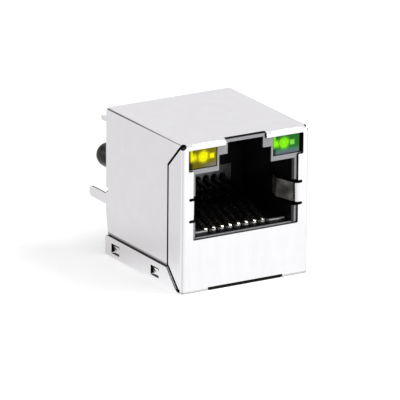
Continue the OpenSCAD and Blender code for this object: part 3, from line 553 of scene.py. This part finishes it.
# ---------------------------------------------------------------- contact carrier
# A separate insert of black liquid crystal polymer. It is moulded with thin comb walls that keep the contacts
# apart, and pushed into the housing from the back with the contacts in it.
CARRIER_EDGE_R = 0.03 * MM
THIN_Z = (-2.6 * MM, -1.6 * MM)     # from the solid block up to the thin walls of the comb
LCP_BLACK = "#0b0b0c"
LCP_PAINTED_LIGHT = ("#303032", "#8a8a8c")
STREAK_SIZE = 0.5 * MM
TONGUE_HIGHLIGHT = "#b4b4b6"
TONGUE_HIGHLIGHT_Y = (-14.60 * MM, -14.85 * MM)     # the last stretch of the tongue, out to its front edge
lcp, tree, shader = new_material("black_moulded_lcp")
place = add_node(tree, "ShaderNodeTexCoord").outputs["Object"]
spot = add_node(tree, "ShaderNodeSeparateXYZ", None, {"Vector": place}).outputs
# The thin comb walls are painted pale in streaks, as the light that falls on them, and the block behind the
# contacts stays black.
streaks = add_node(tree, "ShaderNodeTexNoise", None,
                   {"Vector": place, "Scale": 1.0 / STREAK_SIZE, "Detail": 3.0})
painted_light_streaks = add_node(tree, "ShaderNodeMix", COLOUR_MIX,
                   {"Factor": streaks.outputs["Fac"], "A": colour(LCP_PAINTED_LIGHT[0]),
                    "B": colour(LCP_PAINTED_LIGHT[1])})
thin = add_node(tree, "ShaderNodeMapRange", None,
                {"Value": spot["Z"], "From Min": THIN_Z[0], "From Max": THIN_Z[1]})
tone = add_node(tree, "ShaderNodeMix", COLOUR_MIX,
                {"Factor": thin.outputs["Result"], "A": colour(LCP_BLACK), "B": painted_light_streaks.outputs["Result"]})
# A painted highlight runs along the up-facing front edge of the tongue.
at_edge = add_node(tree, "ShaderNodeMapRange", SMOOTH,
                   {"Value": spot["Y"], "From Min": TONGUE_HIGHLIGHT_Y[0], "From Max": TONGUE_HIGHLIGHT_Y[1]})
upward = add_node(tree, "ShaderNodeNewGeometry").outputs["Normal"]
upward = add_node(tree, "ShaderNodeSeparateXYZ", None, {"Vector": upward}).outputs["Z"]
upward = add_node(tree, "ShaderNodeMapRange", None, {"Value": upward, "From Min": 0.2, "From Max": 0.5})
painted_highlight = add_node(tree, "ShaderNodeMath", {"operation": "MULTIPLY"},
                {0: at_edge.outputs["Result"], 1: upward.outputs["Result"]})
tone = add_node(tree, "ShaderNodeMix", COLOUR_MIX,
                {"Factor": painted_highlight.outputs[0], "A": tone.outputs["Result"], "B": colour(TONGUE_HIGHLIGHT)})
tree.links.new(tone.outputs["Result"], shader.inputs["Base Color"])
shader.inputs["Roughness"].default_value = 0.3

carrier = own_mesh("contact_carrier", "comb_insert")
round_edges(carrier, CARRIER_EDGE_R)
carrier.data.materials.append(lcp)
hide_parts("contact_carrier")
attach(carrier, "root")

# ---------------------------------------------------------------- contacts
# Eight contacts, stamped from phosphor bronze strip and formed round a bend at the front of the port. They
# are plated with nickel, then with a thin, pale film of gold in front and with tin on the tails.
CONTACT_EDGE_R = 0.03 * MM
GOLD = "#efeadb"
GOLD_ENDS_Y = (-12.0 * MM, -9.5 * MM)   # where the beam goes up into its comb slot, and bare nickel follows
SHADED_NICKEL = "#6d6b66"
NICKEL_ENDS_Y = -3.0 * MM           # a little before the tin
TIN = "#d9d9d6"
TIN_Y = (-2.2 * MM, -1.8 * MM)      # where the tin of the tails begins
DRAWN_SIZE = 0.3 * MM
SCUFF_SIZE = 0.14 * MM
SCUFF_DEPTH = 0.03 * MM
gold, tree, shader = new_material("gold_flash_and_tin_on_bronze")
place = add_node(tree, "ShaderNodeTexCoord").outputs["Object"]
depth = add_node(tree, "ShaderNodeSeparateXYZ", None, {"Vector": place}).outputs["Y"]
tinned = add_node(tree, "ShaderNodeMapRange", None,
                  {"Value": depth, "From Min": TIN_Y[0], "From Max": TIN_Y[1]})
coat = add_node(tree, "ShaderNodeMix", COLOUR_MIX,
                {"Factor": tinned.outputs["Result"], "A": colour(GOLD), "B": colour(TIN)})
# Behind the gold, bare nickel follows, painted darker than nickel is, as the shade deep in the port.
past_gold = add_node(tree, "ShaderNodeMapRange", SMOOTH,
                     {"Value": depth, "From Min": GOLD_ENDS_Y[0], "From Max": GOLD_ENDS_Y[1]})
before_tin = add_node(tree, "ShaderNodeMath", {"operation": "LESS_THAN"}, {0: depth, 1: NICKEL_ENDS_Y})
on_shaded_nickel = add_node(tree, "ShaderNodeMath", {"operation": "MULTIPLY"},
                     {0: past_gold.outputs["Result"], 1: before_tin.outputs[0]})
coat = add_node(tree, "ShaderNodeMix", COLOUR_MIX,
                {"Factor": on_shaded_nickel.outputs[0], "A": coat.outputs["Result"], "B": colour(SHADED_NICKEL)})
tree.links.new(coat.outputs["Result"], shader.inputs["Base Color"])
shader.inputs["Metallic"].default_value = 1.0
drawn = add_node(tree, "ShaderNodeTexNoise", None,
                 {"Vector": place, "Scale": 1.0 / DRAWN_SIZE, "Detail": 3.0})
polish = add_node(tree, "ShaderNodeMapRange", None,
                  {"Value": drawn.outputs["Fac"], "From Min": 0.3, "From Max": 0.7,
                   "To Min": 0.14, "To Max": 0.30})
tree.links.new(polish.outputs["Result"], shader.inputs["Roughness"])
scuffs = add_node(tree, "ShaderNodeTexNoise", None,
                  {"Vector": place, "Scale": 1.0 / SCUFF_SIZE, "Detail": 2.0})
dents = add_node(tree, "ShaderNodeBump", None,
                 {"Height": scuffs.outputs["Fac"], "Distance": SCUFF_DEPTH, "Strength": 0.6})
tree.links.new(dents.outputs["Normal"], shader.inputs["Normal"])

for i in range(1, 9):
    contact = own_mesh("contact_%d" % i, "formed_contact_%d" % i)
    round_edges(contact, CONTACT_EDGE_R)
    contact.data.materials.append(gold)
    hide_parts("contact_%d" % i)
    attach(contact, "root")

# ---------------------------------------------------------------- LEDs
# Rectangular LEDs, cast from tinted, slightly clouded epoxy round a stamped and silvered lead frame. One lead
# ends in the reflector cup that holds the chip, the other in the post that the gold bond wire goes to.
LEAD_EDGE_R = 0.015 * MM
CUP_RISE = 0.25 * MM                # of the cup above the middle of the lens
WIRE_R = 0.02 * MM                  # the real wire, of 0.0125 mm radius, is too thin to show
WIRE_INWARD = 0.1 * MM              # from the post's left edge to where the wire lands
WIRE_BELOW = 0.15 * MM              # and from its top
WIRE_RISES = Vector((0.0, -0.30, 0.0)) * MM     # the curve's pull at the chip and at the post
WIRE_LANDS = Vector((0.10, -0.22, 0.0)) * MM

# Colours painted on each epoxy's front: painted light in front of the cup and over the post, the body,
# painted shade near its foot, and a painted grey reflection at the foot's right end. Then the places of cup
# and post as the front face shows them, and where the grey foot begins, all from the left end.
LEDS = {"yellow": {"cup": "#fffa00", "post": "#fff200", "body": "#7a7000", "foot": "#665f00",
                   "foot_end": "#7a6e5e", "cup_x": 1.60 * MM, "post_x": 2.68 * MM, "grey_x": 0.9 * MM},
        "green": {"cup": "#8cf800", "post": "#7ad848", "body": "#236a20", "foot": "#2f8650",
                  "foot_end": "#5d6370", "cup_x": 1.33 * MM, "post_x": 2.35 * MM, "grey_x": -1.0 * MM}}

# Silver plate on the lead frame: nearly white, and a little uneven from the stamping.
STAMPED_SIZE = 0.25 * MM
silver, tree, shader = new_material("silvered_steel_lead_frame")
place = add_node(tree, "ShaderNodeTexCoord").outputs["Object"]
stamped = add_node(tree, "ShaderNodeTexNoise", None,
                   {"Vector": place, "Scale": 1.0 / STAMPED_SIZE, "Detail": 2.0})
shader.inputs["Base Color"].default_value = colour("#f3f2ee")
shader.inputs["Metallic"].default_value = 1.0
polish = add_node(tree, "ShaderNodeMapRange", None,
                  {"Value": stamped.outputs["Fac"], "From Min": 0.3, "From Max": 0.7,
                   "To Min": 0.22, "To Max": 0.4})
tree.links.new(polish.outputs["Result"], shader.inputs["Roughness"])

# The sawn chip is dull brown and smooth, and the drawn wire is bright yellow gold.
crystal, tree, shader = new_material("sawn_semiconductor_chip")
shader.inputs["Base Color"].default_value = colour("#6a5a3c")
shader.inputs["Roughness"].default_value = 0.25
wire_gold, tree, shader = new_material("drawn_gold_bond_wire")
shader.inputs["Base Color"].default_value = colour("#f2cf7e")
shader.inputs["Metallic"].default_value = 1.0
shader.inputs["Roughness"].default_value = 0.2


def bond_wire(led):
    """The wire rises from the chip in its cup and comes down on the post."""
    lens_low, lens_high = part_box(led + "_led_lens")
    chip_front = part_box(led + "_led_chip")[0].y
    post_low, post_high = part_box(led + "_led_anode")
    lens_middle = (lens_low + lens_high) / 2
    start = Vector((lens_middle.x, chip_front, lens_middle.z + CUP_RISE))
    end = Vector((post_low.x + WIRE_INWARD, post_low.y, post_high.z - WIRE_BELOW))
    bpy.ops.object.select_all(action="DESELECT")
    bpy.ops.curve.primitive_bezier_curve_add(location=(0.0, 0.0, 0.0))
    wire = bpy.context.object
    points = wire.data.splines[0].bezier_points
    for point, at, pull in ((points[0], start, WIRE_RISES), (points[1], end, WIRE_LANDS)):
        point.handle_left_type = point.handle_right_type = "FREE"
        point.co = at
        point.handle_left = point.handle_right = at + pull
    wire.data.dimensions = "3D"
    wire.data.bevel_depth = WIRE_R
    wire.data.bevel_resolution = 3
    wire.data.use_fill_caps = True
    bpy.ops.object.convert(target="MESH")
    wire.name = led + "_bond_wire"
    wire.data.materials.clear()
    wire.data.materials.append(wire_gold)
    bpy.ops.object.shade_smooth_by_angle(angle=math.radians(50))
    return wire


# The body is a block with cast corners. Its tail end, where the epoxy was poured in, is a little smaller, and
# dished. The haze of the epoxy blurs the light and shade painted on it.
LENS_EDGE_R = 0.10 * MM
TAIL_TAPER = 0.985
DISH_RIM = 0.35 * MM
DISH_DEPTH = 0.12 * MM
HAZE_SIZE = 0.45 * MM
HAZE_SWAY = 0.15 * MM               # how far the haze moves the pattern either way
SHOWN_Z = 4.56 * MM                 # height at which the front face shows cup and post
DARKER_Z = (SHOWN_Z - 0.35 * MM, SHOWN_Z - 1.0 * MM)
GREYED_Z = (SHOWN_Z - 0.5 * MM, SHOWN_Z - 1.15 * MM)
GREY_SPREAD = 2.2 * MM
CUP_GLOW = (0.50 * MM, 0.42 * MM)   # reach and softness of the light in front of the cup
RING_SPACING = 0.40 * MM            # of the rings that the cup's wall draws in it
END_GLOW_X = 0.45 * MM
END_GLOW = (0.26 * MM, 0.40 * MM)   # of the light that comes in at the left end
POST_HALF = (0.38 * MM, 0.14 * MM)  # of the post's soft square end, as it shows
POST_Z = SHOWN_Z - 0.05 * MM
STRIP_X = (0.34 * MM, 0.24 * MM)    # from the left end
STRIP_Z = (SHOWN_Z - 0.1 * MM, SHOWN_Z - 0.7 * MM)
STRIP_SHADE = 0.8
EPOXY_SHADED = "#0c0c04"
EDGE_BLACK = "#080806"
EDGE_SHADOW = (0.10 * MM, 0.03 * MM)    # from the edge: where it begins, and where it is full


def cast_epoxy_body(led):
    """A block as large as the CAD lens, tapered, dished and with rounded edges."""
    lens_low, lens_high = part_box(led + "_led_lens")
    lens_middle = (lens_low + lens_high) / 2
    bpy.ops.object.select_all(action="DESELECT")
    bpy.ops.mesh.primitive_cube_add(size=1.0, location=lens_middle)
    lens = bpy.context.object
    lens.name = led + "_epoxy_body"
    lens.scale = lens_high - lens_low
    bpy.ops.object.transform_apply(location=True, rotation=True, scale=True)
    bpy.ops.object.mode_set(mode="EDIT")
    bpy.ops.mesh.select_all(action="DESELECT")
    bpy.ops.object.mode_set(mode="OBJECT")
    for face in lens.data.polygons:
        face.select = face.normal.y > 0.9
    bpy.ops.object.mode_set(mode="EDIT")
    bpy.ops.mesh.select_mode(type="FACE")
    bpy.ops.transform.resize(value=(TAIL_TAPER, 1.0, TAIL_TAPER), center_override=tuple(lens_middle))
    bpy.ops.mesh.inset(thickness=DISH_RIM, depth=-DISH_DEPTH)
    bpy.ops.object.mode_set(mode="OBJECT")
    rounding = lens.modifiers.new("cast_edges", "BEVEL")
    rounding.width = LENS_EDGE_R
    rounding.segments = 4
    rounding.limit_method = "ANGLE"
    bpy.ops.object.modifier_apply(modifier=rounding.name)
    bpy.ops.object.shade_smooth_by_angle(angle=math.radians(50))
    return lens


def disc_of_light(tree, swayed, x, reach, softness):
    """The distance from a place on the front face, and a soft disc of painted light round that place."""
    offset = add_node(tree, "ShaderNodeVectorMath", {"operation": "SUBTRACT"},
                      {0: swayed, 1: (x, 0.0, SHOWN_Z)})
    offset = add_node(tree, "ShaderNodeVectorMath", {"operation": "MULTIPLY"},
                      {0: offset.outputs[0], 1: (1.0, 0.0, 1.0)})
    away = add_node(tree, "ShaderNodeVectorMath", {"operation": "LENGTH"},
                    {0: offset.outputs[0]}).outputs["Value"]
    disc = add_node(tree, "ShaderNodeMapRange", SMOOTH,
                    {"Value": away, "From Min": reach + softness, "From Max": reach - softness / 2})
    return away, disc.outputs["Result"]


def epoxy_with_painted_light(led, look):
    """Epoxy with painted light in front of the cup and the post, and painted shade where it meets the pocket.
    """
    lens_low, lens_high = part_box(led + "_led_lens")
    epoxy, tree, shader = new_material(led + "_epoxy_with_painted_light")
    place = add_node(tree, "ShaderNodeTexCoord").outputs["Object"]
    spot = add_node(tree, "ShaderNodeSeparateXYZ", None, {"Vector": place}).outputs
    haze = add_node(tree, "ShaderNodeTexNoise", None,
                    {"Vector": place, "Scale": 1.0 / HAZE_SIZE, "Detail": 2.0})
    swayed = add_node(tree, "ShaderNodeVectorMath", {"operation": "MULTIPLY_ADD"},
                      {0: haze.outputs["Color"], 1: (2 * HAZE_SWAY, 0.0, 2 * HAZE_SWAY), 2: place})
    swayed = add_node(tree, "ShaderNodeVectorMath", {"operation": "SUBTRACT"},
                      {0: swayed.outputs[0], 1: (HAZE_SWAY, 0.0, HAZE_SWAY)}).outputs[0]
    swayed_spot = add_node(tree, "ShaderNodeSeparateXYZ", None, {"Vector": swayed}).outputs

    # The body, in painted shade towards its foot, which has a painted grey reflection to the right.
    lower = add_node(tree, "ShaderNodeMapRange", SMOOTH,
                     {"Value": swayed_spot["Z"], "From Min": DARKER_Z[0], "From Max": DARKER_Z[1]})
    body = add_node(tree, "ShaderNodeMix", COLOUR_MIX,
                    {"Factor": lower.outputs["Result"], "A": colour(look["body"]), "B": colour(look["foot"])})
    lowest = add_node(tree, "ShaderNodeMapRange", SMOOTH,
                      {"Value": swayed_spot["Z"], "From Min": GREYED_Z[0], "From Max": GREYED_Z[1]})
    grey_from = lens_low.x + look["grey_x"]
    to_right = add_node(tree, "ShaderNodeMapRange", SMOOTH,
                        {"Value": swayed_spot["X"], "From Min": grey_from,
                         "From Max": grey_from + GREY_SPREAD})
    grey = add_node(tree, "ShaderNodeMath", {"operation": "MULTIPLY"},
                    {0: lowest.outputs["Result"], 1: to_right.outputs["Result"]})
    tint_and_painted_light = add_node(tree, "ShaderNodeMix", COLOUR_MIX,
                    {"Factor": grey.outputs[0], "A": body.outputs["Result"], "B": colour(look["foot_end"])})

    # The painted light in front of the cup, with the rings of the cup's wall, and the painted light from the
    # left end.
    from_cup, cup_light = disc_of_light(tree, swayed, lens_low.x + look["cup_x"], *CUP_GLOW)
    end_light = disc_of_light(tree, swayed, lens_low.x + END_GLOW_X, *END_GLOW)[1]
    light = add_node(tree, "ShaderNodeMath", {"operation": "MAXIMUM"}, {0: cup_light, 1: end_light})
    rings = add_node(tree, "ShaderNodeMath", {"operation": "MULTIPLY"},
                     {0: from_cup, 1: 2 * math.pi / RING_SPACING})
    rings = add_node(tree, "ShaderNodeMath", {"operation": "SINE"}, {0: rings.outputs[0]})
    rings = add_node(tree, "ShaderNodeMapRange", None,
                     {"Value": rings.outputs[0], "From Min": -1.0, "From Max": 0.2,
                      "To Min": 0.70, "To Max": 1.0})
    light = add_node(tree, "ShaderNodeMath", {"operation": "MULTIPLY"},
                     {0: light.outputs[0], 1: rings.outputs["Result"]})
    tint_and_painted_light = add_node(tree, "ShaderNodeMix", COLOUR_MIX,
                    {"Factor": light.outputs[0], "A": tint_and_painted_light.outputs["Result"], "B": colour(look["cup"])})

    # The square end of the post, painted bright on the front face.
    from_post = add_node(tree, "ShaderNodeVectorMath", {"operation": "SUBTRACT"},
                         {0: place, 1: (lens_low.x + look["post_x"], 0.0, POST_Z)})
    from_post = add_node(tree, "ShaderNodeVectorMath", {"operation": "ABSOLUTE"}, {0: from_post.outputs[0]})
    from_post = add_node(tree, "ShaderNodeSeparateXYZ", None, {"Vector": from_post.outputs[0]}).outputs
    square = add_node(tree, "ShaderNodeMath", {"operation": "MAXIMUM"},
                      {0: from_post["X"], 1: from_post["Z"]})
    post = add_node(tree, "ShaderNodeMapRange", SMOOTH,
                    {"Value": square.outputs[0], "From Min": POST_HALF[0], "From Max": POST_HALF[1]})
    tint_and_painted_light = add_node(tree, "ShaderNodeMix", COLOUR_MIX,
                    {"Factor": post.outputs["Result"], "A": tint_and_painted_light.outputs["Result"],
                     "B": colour(look["post"])})

    # The body's left side is painted on the front as a strip, lit above and in painted shade below.
    strip = add_node(tree, "ShaderNodeMapRange", SMOOTH,
                     {"Value": spot["X"], "From Min": lens_low.x + STRIP_X[0],
                      "From Max": lens_low.x + STRIP_X[1]})
    strip = add_node(tree, "ShaderNodeMath", {"operation": "MULTIPLY"},
                     {0: strip.outputs["Result"], 1: STRIP_SHADE})
    strip_low = add_node(tree, "ShaderNodeMapRange", SMOOTH,
                         {"Value": spot["Z"], "From Min": STRIP_Z[0], "From Max": STRIP_Z[1]})
    strip_tone = add_node(tree, "ShaderNodeMix", COLOUR_MIX,
                          {"Factor": strip_low.outputs["Result"], "A": colour(look["cup"]),
                           "B": colour(EPOXY_SHADED)})
    tint_and_painted_light = add_node(tree, "ShaderNodeMix", COLOUR_MIX,
                    {"Factor": strip.outputs[0], "A": tint_and_painted_light.outputs["Result"],
                     "B": strip_tone.outputs["Result"]})

    # The pocket throws a thin shadow along the foot and the right end.
    to_end = add_node(tree, "ShaderNodeMath", {"operation": "SUBTRACT"}, {0: lens_high.x, 1: spot["X"]})
    to_foot = add_node(tree, "ShaderNodeMath", {"operation": "SUBTRACT"}, {0: spot["Z"], 1: lens_low.z})
    to_side = add_node(tree, "ShaderNodeMath", {"operation": "MINIMUM"},
                       {0: to_end.outputs[0], 1: to_foot.outputs[0]})
    rim = add_node(tree, "ShaderNodeMapRange", SMOOTH,
                   {"Value": to_side.outputs[0], "From Min": EDGE_SHADOW[0], "From Max": EDGE_SHADOW[1]})
    tint_and_painted_light = add_node(tree, "ShaderNodeMix", COLOUR_MIX,
                    {"Factor": rim.outputs["Result"], "A": tint_and_painted_light.outputs["Result"], "B": colour(EDGE_BLACK)})
    tree.links.new(tint_and_painted_light.outputs["Result"], shader.inputs["Base Color"])
    shader.inputs["Roughness"].default_value = 0.06
    shader.inputs["IOR"].default_value = 1.53
    shader.inputs["Specular IOR Level"].default_value = 0.04    # its polish mirrors the dark behind the lamps
    shader.inputs["Transmission Weight"].default_value = 0.12
    return epoxy


for led, look in LEDS.items():
    for part, name in (("cathode", "cup_lead"), ("anode", "post_lead"), ("chip", "chip")):
        piece = own_mesh("%s_led_%s" % (led, part), "%s_%s" % (led, name))
        round_edges(piece, LEAD_EDGE_R)
        piece.data.materials.append(crystal if part == "chip" else silver)
        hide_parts("%s_led_%s" % (led, part))
        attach(piece, "root")
    wire = bond_wire(led)
    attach(wire, "root")
    lens = cast_epoxy_body(led)
    lens.data.materials.append(epoxy_with_painted_light(led, look))
    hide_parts(led + "_led_lens")
    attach(lens, "root")
